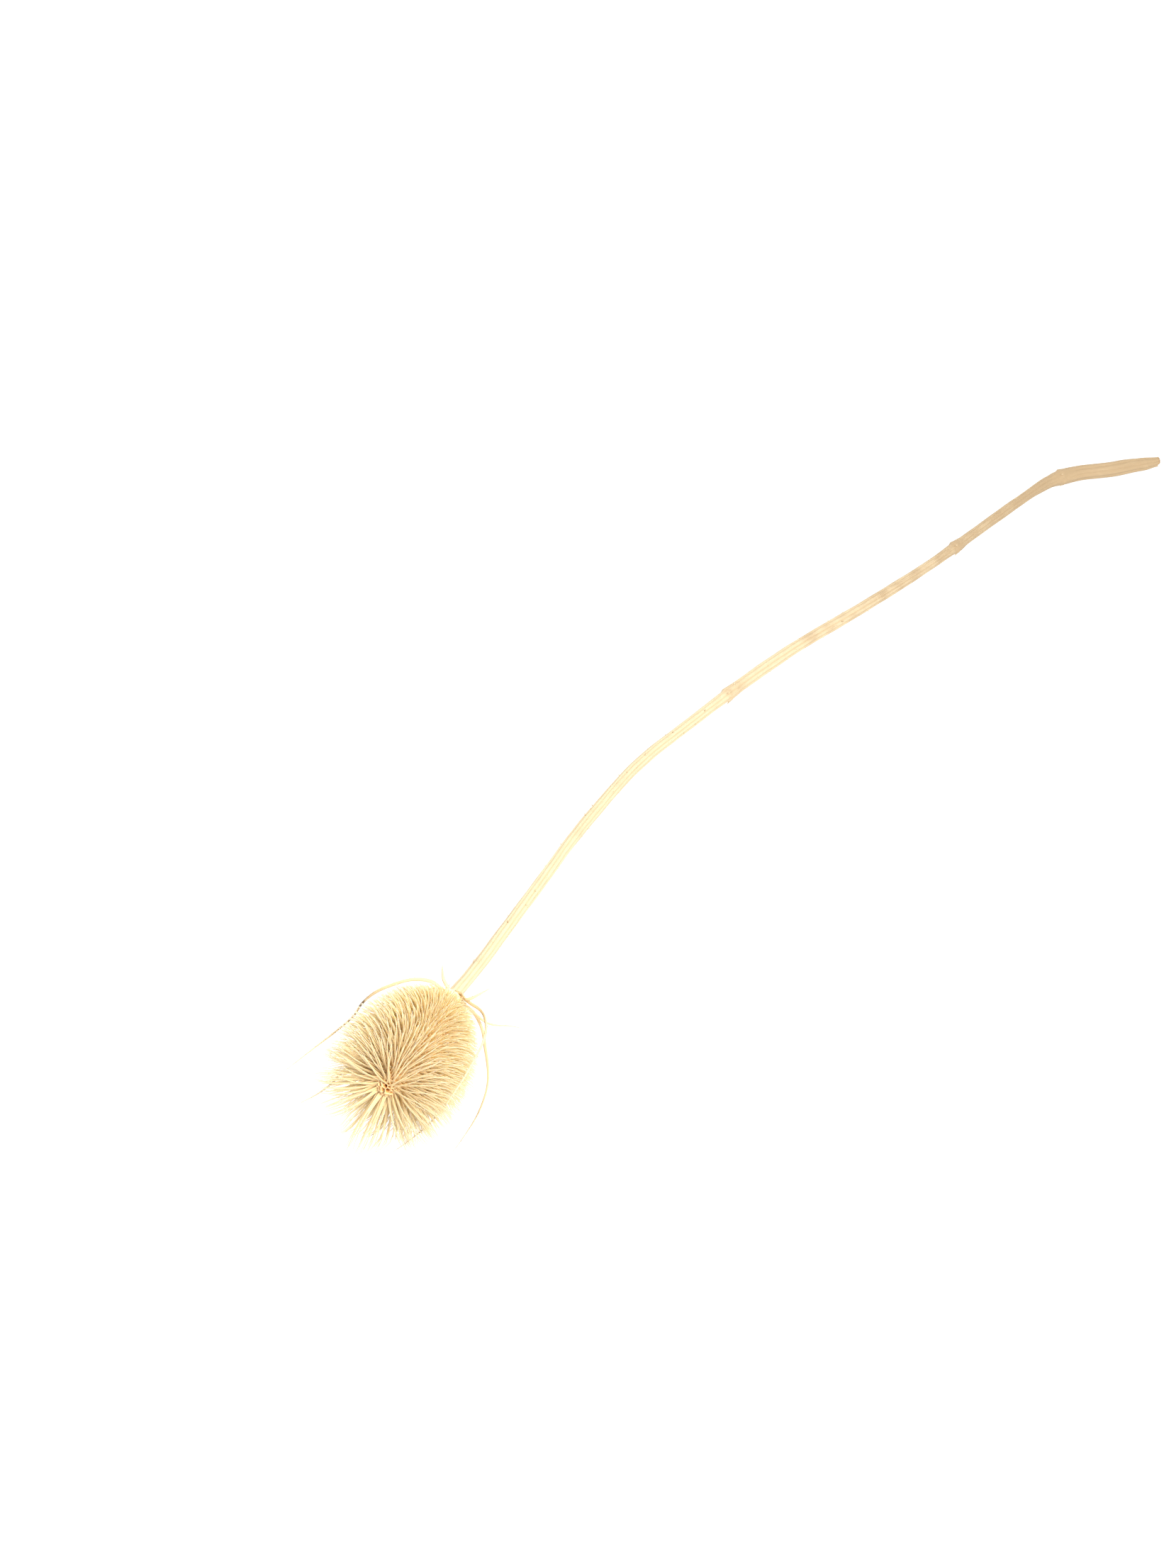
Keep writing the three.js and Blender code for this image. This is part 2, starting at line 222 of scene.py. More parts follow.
# Round lamps aimed at the neck: size in metres, watts, and place from the neck in metres.
LAMPS = [("key", 0.45, 13.5, (-0.243, -0.612, 0.65)), ("fill", 0.8, 6.0, (0.6, 0.9, 0.7))]
LAMP_COLOUR = (1.0, 0.955, 0.90)
WORLD_COLOUR = (1.0, 0.99, 0.975, 1)
WORLD_STRENGTH = 0.95
TABLE_COLOUR = (0.25, 0.25, 0.248, 1)
TABLE_GLOW = 0.92  # the table is lit from within, like a light table
TABLE_REACH = 6.0  # metres


# ---------------------------------------------------------------- curves and tables

def unit(vectors):
    return vectors / np.linalg.norm(vectors, axis=-1, keepdims=True)


def table_value(rows, at, column=1):
    """The value between the two nearest rows of a table, eased so that no corner shows."""
    keys = np.array([row[0] for row in rows], float)
    values = np.array([row[column] for row in rows], float)
    at = np.clip(at, keys[0], keys[-1])
    row = np.clip(np.searchsorted(keys, at, side="right") - 1, 0, len(keys) - 2)
    part = (at - keys[row]) / (keys[row + 1] - keys[row])
    return values[row] + (values[row + 1] - values[row]) * part * part * (3 - 2 * part)


def smooth_curve(points, count):
    """Evenly spaced places on the centripetal Catmull-Rom curve through the points, and their tangents."""
    points = np.asarray(points, float)
    knots = np.vstack([2 * points[0] - points[1], points, 2 * points[-1] - points[-2]])
    gaps = np.sqrt(np.linalg.norm(np.diff(knots, axis=0), axis=1))
    fine = []
    for i in range(1, len(knots) - 2):
        p0, p1, p2, p3 = knots[i - 1:i + 3]
        t0, t1, t2, t3 = np.cumsum([0, gaps[i - 1], gaps[i], gaps[i + 1]])
        t = np.linspace(t1, t2, 40, endpoint=False)[:, None]
        a1 = ((t1 - t) * p0 + (t - t0) * p1) / (t1 - t0)
        a2 = ((t2 - t) * p1 + (t - t1) * p2) / (t2 - t1)
        a3 = ((t3 - t) * p2 + (t - t2) * p3) / (t3 - t2)
        b1 = ((t2 - t) * a1 + (t - t0) * a2) / (t2 - t0)
        b2 = ((t3 - t) * a2 + (t - t1) * a3) / (t3 - t1)
        fine.append(((t2 - t) * b1 + (t - t1) * b2) / (t2 - t1))
    fine = np.vstack([*fine, points[-1:]])
    along = np.concatenate([[0], np.cumsum(np.linalg.norm(np.diff(fine, axis=0), axis=1))])
    wanted = np.linspace(0, along[-1], count)
    places = np.stack([np.interp(wanted, along, fine[:, k]) for k in range(3)], 1)
    return places, unit(np.gradient(places, axis=0)), wanted


def outward(angle):
    return np.cos(angle)[..., None] * UP + np.sin(angle)[..., None] * SIDEWARD


def roundwards(angle):
    return -np.sin(angle)[..., None] * UP + np.cos(angle)[..., None] * SIDEWARD


def head_point(along, away, angle):
    return NECK + np.asarray(along)[..., None] * TIPWARD + np.asarray(away)[..., None] * outward(angle)


def drift(place, size):
    """A smooth random vector that changes over about `size` millimetres."""
    return np.array(noise.noise_vector(Vector(place) / size))


# ---------------------------------------------------------------- meshes

def ring_faces(rings, sides):
    """Quads between rings of equal length, as rows of vertex numbers."""
    ring = np.arange(rings - 1)[:, None] * sides
    side = np.arange(sides)[None, :]
    after = (side + 1) % sides
    quads = [ring + side, ring + after, ring + sides + after, ring + sides + side]
    return np.stack(quads, -1).reshape(-1, 4)


def end_faces(rings, sides):
    """The two faces that close a row of rings."""
    return [range(sides), range((rings - 1) * sides, rings * sides)]


class Shell:
    """Vertices and faces, with the point values that the materials read and the layout for baking."""

    def __init__(self):
        self.places, self.faces, self.tones, self.grains, self.layouts = [], [], [], [], []
        self.total = 0

    def add(self, places, faces, tone, grain, layout):
        """layout holds each face corner's place on a flat sheet of 1 by 1."""
        places = np.asarray(places, float).reshape(-1, 3)
        self.places.append(places)
        self.faces.extend([[int(v) + self.total for v in face] for face in faces])
        self.tones.append(np.broadcast_to(tone, (len(places), 3)))
        self.grains.append(np.broadcast_to(grain, (len(places), 3)))
        self.layouts.append(np.asarray(layout, float).reshape(-1, 2))
        self.total += len(places)

    def piece(self, name, material, slot, *nodes):
        mesh = bpy.data.meshes.new(name)
        mesh.from_pydata(np.vstack(self.places) * MM, [], self.faces)
        sheet = mesh.uv_layers.new(name="OFBake")
        sheet.data.foreach_set("uv", np.vstack(self.layouts).astype(np.float32).ravel())
        tone = mesh.attributes.new("tone", "FLOAT_VECTOR", "POINT")
        tone.data.foreach_set("vector", np.vstack(self.tones).astype(np.float32).ravel())
        grain = mesh.attributes.new("grain", "FLOAT_VECTOR", "POINT")
        grain.data.foreach_set("vector", np.vstack(self.grains).astype(np.float32).ravel())
        work = bmesh.new()
        work.from_mesh(mesh)
        bmesh.ops.recalc_face_normals(work, faces=work.faces)
        work.to_mesh(mesh)
        work.free()
        mesh.shade_smooth()
        mesh.materials.append(material)
        piece = bpy.data.objects.new(name, mesh)
        bpy.context.scene.collection.objects.link(piece)
        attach(piece, BODY)
        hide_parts(*nodes)


def ring_layout(rings, sides, low, high):
    """Each quad's corners on the sheet, between the low and high corners of a patch."""
    along = np.linspace(low[0], high[0], rings)
    across = np.linspace(low[1], high[1], sides + 1)
    i, j = (grid.ravel() for grid in np.meshgrid(np.arange(rings - 1), np.arange(sides), indexing="ij"))
    corners = [(along[i], across[j]), (along[i], across[j + 1]), (along[i + 1], across[j + 1]),
               (along[i + 1], across[j])]
    return np.stack([np.stack(corner, -1) for corner in corners], 1)


def thorn(shell, root, tip, radius, tone, sheet, sides=6):
    """A small curved thorn, thick at its root."""
    line = tip - root
    across = unit(np.cross(line, UP + 0.01))
    up = unit(np.cross(across, line))
    steps = [(0.0, 1.0), (0.35, 0.55), (0.7, 0.25), (1.0, 0.05)]
    turn = np.arange(sides) * 2 * math.pi / sides
    rings = [root + s * line + radius * r * (np.cos(turn)[:, None] * across + np.sin(turn)[:, None] * up)
             for s, r in steps]
    faces = [*ring_faces(len(steps), sides), *end_faces(len(steps), sides)]
    layout = ring_layout(len(steps), sides, sheet, (sheet[0] + 0.01, sheet[1] + 0.01)).reshape(-1, 2)
    caps = np.stack([sheet[0] + 0.005 + 0.004 * np.cos(turn), sheet[1] + 0.005 + 0.004 * np.sin(turn)], 1)
    shell.add(np.array(rings), faces, tone, root * 0.1, np.vstack([layout, caps, caps]))


# ---------------------------------------------------------------- materials

def linear(red, green, blue):
    """A colour given as 0 to 255 screen values, as the shader's linear numbers."""
    values = np.array([red, green, blue]) / 255
    return (*np.where(values <= 0.04045, values / 12.92, ((values + 0.055) / 1.055) ** 2.4), 1.0)


class Graph:
    """A material's nodes, with short calls for the few kinds used here."""

    def __init__(self, name):
        self.material = bpy.data.materials.new(name)
        self.material.use_nodes = True
        self.tree = self.material.node_tree
        self.shader = self.tree.nodes["Principled BSDF"]

    def node(self, kind, inputs=None, **settings):
        node = self.tree.nodes.new(kind)
        for key, value in settings.items():
            setattr(node, key, value)
        for key, value in (inputs or {}).items():
            self.feed(node.inputs[key], value)
        return node

    def feed(self, socket, value):
        if isinstance(value, bpy.types.NodeSocket):
            self.tree.links.new(value, socket)
        else:
            socket.default_value = value

    def attribute(self, name):
        return self.node("ShaderNodeAttribute", attribute_name=name).outputs["Vector"]

    def parts(self, vector):
        return self.node("ShaderNodeSeparateXYZ", {"Vector": vector}).outputs

    def stretched(self, vector, x, y, z):
        scaled = self.node("ShaderNodeVectorMath", {0: vector, 1: (x, y, z)}, operation="MULTIPLY")
        return scaled.outputs["Vector"]

    def noise(self, vector, scale, detail=3.0, roughness=0.55):
        inputs = {"Vector": vector, "Scale": scale, "Detail": detail, "Roughness": roughness}
        return self.node("ShaderNodeTexNoise", inputs).outputs["Fac"]

    def ramp(self, value, *stops):
        node = self.node("ShaderNodeValToRGB", {"Fac": value})
        while len(node.color_ramp.elements) < len(stops):
            node.color_ramp.elements.new(1.0)
        for element, (place, colour) in zip(node.color_ramp.elements, stops):
            element.position = place
            element.color = colour if isinstance(colour, tuple) else (colour, colour, colour, 1.0)
        return node.outputs["Color"]

    def mix(self, factor, first, second, blend="MIX"):
        node = self.node("ShaderNodeMix", data_type="RGBA", blend_type=blend)
        for index, value in ((0, factor), (6, first), (7, second)):
            self.feed(node.inputs[index], value)
        return node.outputs[2]

    def maths(self, operation, first, second=0.0):
        return self.node("ShaderNodeMath", {0: first, 1: second}, operation=operation).outputs[0]

    def finish(self, colour, roughness, height, strength, distance):
        bump = self.node("ShaderNodeBump", {"Height": height, "Strength": strength, "Distance": distance})
        self.feed(self.shader.inputs["Base Color"], colour)
        self.feed(self.shader.inputs["Roughness"], roughness)
        self.feed(self.shader.inputs["Normal"], bump.outputs["Normal"])
        return self.material


def straw_material(name, groove, rib, stain_and_shade_colour, cut):
    """Dry stem or leaf: long fibres, pale ribs, darker grooves, brown stains and a raw cut.

    tone holds how far out the surface stands on its rib, how much it is marked by stains, with painted shade
    along one edge of a bract, and how raw the cut is.
    """
    graph = Graph(name)
    ribbed, stain_and_shade_mask, raw = graph.parts(graph.attribute("tone"))
    fibre_place = graph.attribute("grain")
    fibres = graph.noise(graph.stretched(fibre_place, 0.12, 4.5, 4.5), 1.0, 5.0, 0.6)
    patches = graph.noise(graph.stretched(fibre_place, 0.5, 0.6, 0.6), 0.16, 3.0)
    specks = graph.noise(graph.stretched(fibre_place, 1.4, 2.4, 2.4), 1.6, 2.0)
    body = graph.mix(graph.ramp(ribbed, (0.1, 0.0), (0.85, 1.0)), groove, rib)
    body = graph.mix(graph.ramp(fibres, (0.34, 0.75), (0.60, 0.0)), body, groove)
    # On the bracts this darkening also holds painted shade along one edge, besides the stains.
    wear_and_shade = graph.maths("ADD", stain_and_shade_mask, graph.maths("MULTIPLY", patches, 0.9))
    wear_and_shade = graph.maths("ADD", wear_and_shade, graph.maths("MULTIPLY", graph.maths("SUBTRACT", fibres, 0.5), 1.2))
    body = graph.mix(graph.ramp(wear_and_shade, (0.55, 0.0), (1.25, 1.0)), body, stain_and_shade_colour)
    body = graph.mix(graph.ramp(specks, (0.70, 0.0), (0.78, 0.55)), body, stain_and_shade_colour)
    body = graph.mix(raw, body, cut)
    roughness = graph.ramp(fibres, (0.3, 0.72), (0.7, 0.50))
    height = graph.maths("ADD", fibres, graph.maths("MULTIPLY", specks, 0.4))
    graph.shader.inputs["Specular IOR Level"].default_value = 0.4
    return graph.finish(body, roughness, height, 0.55, 0.25 * MM)


def awn_material(name):
    """Stiff awns: brown in the cells, straw along the shaft and paler at the point.

    tone holds the place along the awn, a random number for each awn, and its place on the head, which
    also darkens the awns near the tip as painted shade.
    """
    graph = Graph(name)
    along, chance, place = graph.parts(graph.attribute("tone"))
    position = graph.node("ShaderNodeTexCoord").outputs["Object"]
    fibres = graph.noise(graph.attribute("grain"), 1.0, 4.0, 0.6)
    patches = graph.noise(position, 70.0, 2.0)
    shaft = graph.ramp(
        along, (0.0, linear(236, 174, 96)), (0.12, linear(247, 208, 144)), (0.28, linear(250, 224, 174)),
        (0.62, linear(251, 228, 180)), (1.0, linear(250, 230, 188)))
    tinted = graph.mix(graph.ramp(chance, (0.0, 0.4), (0.35, 0.0)), shaft, linear(244, 208, 150))
    tinted = graph.mix(graph.ramp(chance, (0.62, 0.0), (1.0, 0.5)), tinted, linear(252, 240, 212))
    weathered = graph.maths("MULTIPLY", graph.ramp(patches, (0.45, 0.0), (0.7, 1.0)), 0.3)
    tinted = graph.mix(weathered, tinted, linear(236, 218, 184))
    tinted = graph.mix(graph.ramp(fibres, (0.35, 0.3), (0.6, 0.0)), tinted, linear(238, 204, 146))
    # Painted shade: awns towards the head's tip are darker and greyer, for the weaker light on that end.
    tinted = graph.mix(graph.ramp(place, (0.66, 0.0), (0.92, 0.72)), tinted, linear(212, 182, 142))
    roughness = graph.ramp(fibres, (0.3, 0.68), (0.7, 0.48))
    graph.shader.inputs["Specular IOR Level"].default_value = 0.35
    graph.shader.inputs["Subsurface Weight"].default_value = 0.6
    graph.shader.inputs["Subsurface Radius"].default_value = (1.0, 0.78, 0.45)
    graph.shader.inputs["Subsurface Scale"].default_value = 1.5 * MM
    return graph.finish(tinted, roughness, fibres, 0.4, 0.12 * MM)


def cell_material(name):
    """The honeycomb under the awns, darker in the open cells at the tip.

    tone holds how high the surface stands, from pit to rim, and in its third place the share of open cells.
    """
    graph = Graph(name)
    height, _, opened = graph.parts(graph.attribute("tone"))
    position = graph.node("ShaderNodeTexCoord").outputs["Object"]
    grain = graph.noise(position, 900.0, 4.0, 0.6)
    body = graph.ramp(height, (0.0, linear(228, 160, 74)), (0.35, linear(236, 178, 96)),
                      (0.7, linear(246, 214, 152)), (1.0, linear(250, 232, 190)))
    deep = graph.ramp(height, (0.0, linear(120, 64, 14)), (0.3, linear(152, 88, 26)),
                      (0.62, linear(216, 170, 106)), (1.0, linear(236, 212, 168)))
    body = graph.mix(opened, body, deep)
    body = graph.mix(graph.ramp(grain, (0.35, 0.35), (0.65, 0.0)), body, linear(188, 116, 44))
    roughness = graph.ramp(grain, (0.3, 0.85), (0.7, 0.62))
    return graph.finish(body, roughness, grain, 0.6, 0.2 * MM)


STEM_MATERIAL = straw_material(
    "stem_straw", groove=linear(190, 170, 134), rib=linear(208, 193, 162), stain_and_shade_colour=linear(170, 147, 114),
    cut=linear(206, 150, 84))
BRACT_MATERIAL = straw_material(
    "bract_straw", groove=linear(212, 188, 146), rib=linear(228, 210, 172), stain_and_shade_colour=linear(126, 108, 86),
    cut=linear(204, 156, 92))
AWN_MATERIAL = awn_material("awn_straw")
CELL_MATERIAL = cell_material("cell_brown")


# ---------------------------------------------------------------- stem

def stem_height(x):
    rising = NECK[2] + (LYING_HEIGHT - NECK[2]) * x / LAST_NODE_X
    end = STEM_LINE[-1][0]
    lying = LYING_HEIGHT + (CUT_END_HEIGHT - LYING_HEIGHT) * (x - LAST_NODE_X) / (end - LAST_NODE_X)
    return rising if x < LAST_NODE_X else lying


def stem_frame(count):
    points = np.array([(NECK[0] + x, NECK[1] + y, stem_height(x)) for x, y in STEM_LINE])
    points[0] += STEM_START * unit(points[1] - points[0])
    places, tangents, along = smooth_curve(points, count)
    level = unit(np.stack([tangents[:, 1], -tangents[:, 0], np.zeros(count)], 1))
    return places, tangents, level, unit(np.cross(level, tangents)), along


def rib_height(along, angle):
    """How far out the surface stands on the stem's ribs, 0 in a groove and 1 on a rib."""
    twist = 0.5 * np.sin(along / 95.0) + along / 260.0
    return np.abs(np.cos(RIBS / 2 * (angle + twist))) ** 0.75


def build_stem():
    places, tangents, level, up, along = stem_frame(STEM_STEPS)
    angle = np.linspace(0, 2 * math.pi, STEM_SIDES, endpoint=False)[None, :]
    length = along[-1]
    s = along[:, None]
    ribs = rib_height(s, angle)
    from_node = np.min([np.abs(s - node) for node in NODES], axis=0)
    calm = np.clip(from_node / NODE_CALM, 0.25, 1)
    lumps = 0.016 * np.sin(s / 7.3 + 2 * angle) + 0.014 * np.sin(s / 3.1 - angle + 1.0)
    radius = table_value(STEM_GIRTH, s) * (1 - RIB_DEPTH * calm * (1 - ribs) + lumps)
    ragged = np.exp(-from_node / NODE_RAGGED)
    radius *= 1 + 0.07 * ragged * np.sin(5 * angle + s)
    slant = CUT_SLANT / 2 * np.cos(angle) * np.clip((s - length + CUT_REACH) / CUT_REACH, 0, 1) ** 2
    slant = slant + CUT_RAGGED * np.sin(7 * angle + 2 * np.sin(3 * angle)) * np.clip(s - length + 1, 0, 1)
    outer = (places[:, None] + (radius * np.sin(angle))[..., None] * level[:, None]
             + (radius * np.cos(angle))[..., None] * up[:, None] + slant[..., None] * tangents[:, None])
    centre = outer[-1].mean(0)
    inner = [centre + (outer[-1] - centre) * share - tangents[-1] * depth
             for share, depth in ((0.86, 0.0), (0.62, 0.1), (0.50, 0.9), (0.2, 1.3))]
    rings = np.concatenate([outer, inner])
    count = len(rings)
    browning = 0.66 * np.clip((s - 215) / 300, 0, 1) ** 0.8 + 0.22 * np.exp(-from_node / 3.5)
    tone = np.zeros((count, STEM_SIDES, 3))
    tone[:STEM_STEPS, :, 0] = ribs
    tone[:STEM_STEPS, :, 1] = browning
    tone[STEM_STEPS - 1, :, 2] = 0.35
    tone[STEM_STEPS:, :, 0] = 0.6
    tone[STEM_STEPS:, :, 2] = np.array([0.9, 1.0, 0.75, 0.5])[:, None]
    grain = np.zeros((count, STEM_SIDES, 3))
    grain[:STEM_STEPS] = np.stack([s + 0 * angle, radius * np.sin(angle), radius * np.cos(angle)], -1)
    grain[STEM_STEPS:] = rings[STEM_STEPS:] * (1, 3, 3)
    faces = [*ring_faces(count, STEM_SIDES), *end_faces(count, STEM_SIDES)]
    shell = Shell()
    shell.add(rings, faces, tone.reshape(-1, 3), grain.reshape(-1, 3), stem_layout(count))
    add_prickles(shell, places, tangents, level, up, along)
    shell.piece("stem_fluted", STEM_MATERIAL, "stem", "stem")


def stem_layout(count):
    """The stem's quads in strips across the sheet, then its two end faces."""
    per_strip = math.ceil((count - 1) / STEM_STRIPS)
    tall = 0.96 / STEM_STRIPS
    ring = np.repeat(np.arange(count - 1), STEM_SIDES)
    side = np.tile(np.arange(STEM_SIDES), count - 1)
    strip, within = np.divmod(ring, per_strip)
    corners = [((within + a) / per_strip, (strip + 0.02 + 0.96 * (side + b) / STEM_SIDES) * tall)
               for a, b in ((0, 0), (0, 1), (1, 1), (1, 0))]
    quads = np.stack([np.stack(corner, -1) for corner in corners], 1).reshape(-1, 2)
    turn = np.linspace(0, 2 * math.pi, STEM_SIDES, endpoint=False)
    ends = [np.stack([x + 0.015 * np.cos(turn), 0.98 + 0.015 * np.sin(turn)], 1) for x in (0.94, 0.98)]
    return np.vstack([quads, *ends])


def add_prickles(shell, places, tangents, level, up, along):
    """Short thorns on the ribs, and a pair of leaf-base spurs at each node."""
    rng = np.random.default_rng(SEED)
    for i in range(PRICKLE_COUNT):
        share = (i + rng.uniform(0.1, 0.9)) / PRICKLE_COUNT
        at = PRICKLE_SPAN[0] + (PRICKLE_SPAN[1] - PRICKLE_SPAN[0]) * share
        k = int(np.searchsorted(along, at))
        angle = rng.uniform(0, 2 * math.pi)
        out = math.sin(angle) * level[k] + math.cos(angle) * up[k]
        reach = float(table_value(STEM_GIRTH, at))
        root = places[k] + out * reach * 0.88
        tip = root + out * rng.uniform(*PRICKLE_LENGTHS) + tangents[k] * rng.uniform(-0.1, 0.5)
        radius = rng.uniform(*PRICKLE_RADII)
        tone = (0.8, rng.uniform(0.0, 0.95) ** 3, 0.0)
        thorn(shell, root, tip, radius, tone, (0.02 + i * 0.011, 0.98))
    for node in NODES:
        k = int(np.searchsorted(along, node))
        for turn in (0.6, 0.6 + math.pi, 2.4):
            out = math.sin(turn) * level[k] + math.cos(turn) * up[k]
            root = places[k] + out * float(table_value(STEM_GIRTH, node)) * 0.8
            tip = root + out * 0.9 - tangents[k] * 2.6
            thorn(shell, root, tip, 0.75, (0.6, 0.3, 0.0), (0.02, 0.965), sides=8)


# ---------------------------------------------------------------- bracts

def bract_frame(line, count):
    along, away, angle = (np.array(column, float) for column in zip(*line))
    angle = np.radians(angle)
    places, tangents, wanted = smooth_curve(head_point(along, away, angle), count)
    turn = np.interp(np.linspace(0, len(angle) - 1, count), np.arange(len(angle)), angle)
    level = roundwards(turn)
    level = unit(level - np.sum(level * tangents, axis=1)[:, None] * tangents)
    return places, tangents, level, unit(np.cross(level, tangents)), wanted


def bract_half_width(width, s):
    return width / 2 * np.clip(BRACT_FULL * (1 - s) ** BRACT_TAPER, BRACT_TIP, 1)


def build_bract(name, width, line, number):
    """A long thin blade with a midrib and rolled edges, twisted a little as it dried."""
    rng = np.random.default_rng(SEED + 10 + number)
    length = bract_frame(line, 50)[4][-1]
    count = max(14, int(length / BRACT_STEP))
    places, tangents, level, up, along = bract_frame(line, count)
    s = (along / along[-1])[:, None]
    half = bract_half_width(width, s) * (1 + 0.05 * np.sin(along / 3.7 + number)[:, None])
    twist = rng.uniform(-0.7, 0.7) * s ** 1.5 + 0.12 * np.sin(along / 6.0 + number)[:, None]
    across = np.cos(twist) * level + np.sin(twist) * up
    lift = -np.sin(twist) * level + np.cos(twist) * up
    angle = np.linspace(0, 2 * math.pi, BRACT_SIDES, endpoint=False)[None, :]
    wide = half * np.cos(angle)
    thin = half * BRACT_THICKNESS * np.sin(angle) * (1 - 0.45 * np.abs(np.cos(angle)))
    rolled = -0.35 * half * np.cos(angle) ** 2 * np.clip(1 - s, 0, 1)
    midrib = 0.16 * half * np.exp(-(np.cos(angle) / 0.25) ** 2) * np.sign(np.sin(angle))
    rings = (places[:, None] + wide[..., None] * across[:, None]
             + (thin + rolled + midrib)[..., None] * lift[:, None])
    tone = np.zeros((count, BRACT_SIDES, 3))
    tone[..., 0] = 0.35 + 0.65 * np.abs(np.sin(angle)) ** 2
    # Stains, and painted shade along one edge where an entry keeps to it.
    for share, reach, depth, edge in BRACT_STAINS_AND_EDGE_SHADE.get(name, []):
        kept = np.clip(edge * np.cos(angle), 0, 1) if edge else 1
        tone[..., 1] += depth * kept * np.exp(-((s - share) * along[-1] / reach) ** 2)
    grain = np.stack([along[:, None] + 0 * angle, 2.2 * wide, 2.2 * thin], -1) + number * 37.0
    faces = [*ring_faces(count, BRACT_SIDES), *end_faces(count, BRACT_SIDES)]
    turn = angle[0]
    caps = [np.stack([x + 0.008 * np.cos(turn), 0.985 + 0.008 * np.sin(turn)], 1) for x in (0.95, 0.98)]
    layout = np.vstack([ring_layout(count, BRACT_SIDES, (0.01, 0.02), (0.99, 0.93)).reshape(-1, 2), *caps])
    shell = Shell()
    shell.add(rings, faces, tone.reshape(-1, 3), grain.reshape(-1, 3), layout)
    for i in range(int(along[-1] / BRACT_HAIR_STEP) - 1):
        at = (i + rng.uniform(0.6, 1.4)) * BRACT_HAIR_STEP
        k = min(int(at / along[-1] * count), count - 2)
        side = 1 if i % 2 else -1
        root = places[k] + side * across[k] * half[k, 0] * 0.85 - lift[k] * 0.3 * half[k, 0]
        tip = root + side * across[k] * rng.uniform(0.15, 0.35) + tangents[k] * rng.uniform(0.2, 0.4)
        thorn(shell, root, tip, 0.13, (0.7, 0.35, 0.0), (0.01 + i * 0.012, 0.955), sides=5)
    shell.piece(name + "_blade", BRACT_MATERIAL, "bracts", name)


# ---------------------------------------------------------------- seed head

def ovoid_radius(place):
    egg = HEAD_RADIUS * np.sin(np.pi * np.clip(place, 0, 1) ** EGG_SKEW) ** EGG_FULLNESS
    return np.where(place < 0.3, np.maximum(egg, HEAD_BASE_RADIUS), egg)


def ovoid_normal(place, angle):
    step = 1e-3
    slope = (ovoid_radius(np.clip(place + step, 0, 1)) - ovoid_radius(np.clip(place - step, 0, 1)))
    slope = slope / ((np.clip(place + step, 0, 1) - np.clip(place - step, 0, 1)) * HEAD_LENGTH)
    return unit(outward(angle) - slope[..., None] * TIPWARD)


def spread(share):
    """Places on the ovoid at shares of its area from the neck, each the golden angle on from the last."""
    edges = np.linspace(0, 1, 4001)
    radius = ovoid_radius(edges)
    strip = np.hypot(np.diff(radius), np.diff(edges) * HEAD_LENGTH) * (radius[1:] + radius[:-1]) / 2
    area = np.concatenate([[0], np.cumsum(strip)])
    return np.interp(share * area[-1], area, edges), np.arange(len(share)) * GOLDEN_ANGLE, area[-1]


def cell_sites():
    """The middles of the cells, evenly spread but for the wide open ones at the tip, and their pitch."""
    awns = np.arange(AWN_COUNT - OPEN_CELLS_ROOM) + 0.5
    cells = AWN_COUNT - OPEN_CELLS_ROOM * (1 - (np.arange(OPEN_CELLS) + 0.5) / OPEN_CELLS)
    share = BARE_SHARE + (1 - BARE_SHARE) * np.concatenate([awns, cells]) / AWN_COUNT
    place, angle, area = spread(share)
    return place, angle, math.sqrt(2 * math.pi * area / AWN_COUNT)


def build_core(place, angle, pitch):
    """The ovoid with a pit for each cell, between thin raised rims."""
    around, down = CORE_AROUND, CORE_ROWS
    rows = (1 - np.cos(np.linspace(0, math.pi, down))) / 2 * 0.9985 + 0.0005
    turn = np.linspace(0, 2 * math.pi, around, endpoint=False)
    rows, turn = np.meshgrid(rows, turn, indexing="ij")
    skin = head_point(rows * HEAD_LENGTH, ovoid_radius(rows), turn)
    normal = ovoid_normal(rows, turn)
    sites = head_point(place * HEAD_LENGTH, ovoid_radius(place), angle)
    near = np.full((skin.shape[0], skin.shape[1], 2), np.inf)
    for k in range(down):  # a row at a time, against the sites that could reach it
        close = sites[np.abs((sites - skin[k, 0]) @ TIPWARD) < 4 * pitch]
        gap = np.linalg.norm(skin[k][:, None] - close[None], axis=2)
        near[k] = np.sort(gap, axis=1)[:, :2] if gap.shape[1] > 1 else pitch
    rim = np.exp(-(((near[..., 1] - near[..., 0]) / (CELL_RIM_WIDTH * pitch)) ** 2))
    bare = np.clip((rows - BARE_NECK[0]) / BARE_NECK[1], 0, 1)
    open_share = np.clip((rows - OPEN_TIP[0]) / OPEN_TIP[1], 0, 1)
    depth = (CELL_DEPTH * (1 + 0.6 * open_share) * (1 - rim) ** 1.4 - CELL_RIM * rim) * bare
    places = skin - depth[..., None] * normal
    tone = np.stack([1 - (1 - rim) * bare, near[..., 0] / pitch, open_share], -1)
    faces = [*ring_faces(down, around), *end_faces(down, around)]
    caps = np.stack([0.97 + 0.02 * np.cos(turn[0]), 0.985 + 0.01 * np.sin(turn[0])], 1)
    layout = np.vstack([ring_layout(down, around, (0.0, 0.0), (1.0, 0.97)).reshape(-1, 2), caps, caps])
    shell = Shell()
    shell.add(places, faces, tone.reshape(-1, 3), places.reshape(-1, 3), layout)
    shell.piece("seed_head_cells", CELL_MATERIAL, "seed_head", "seed_head")


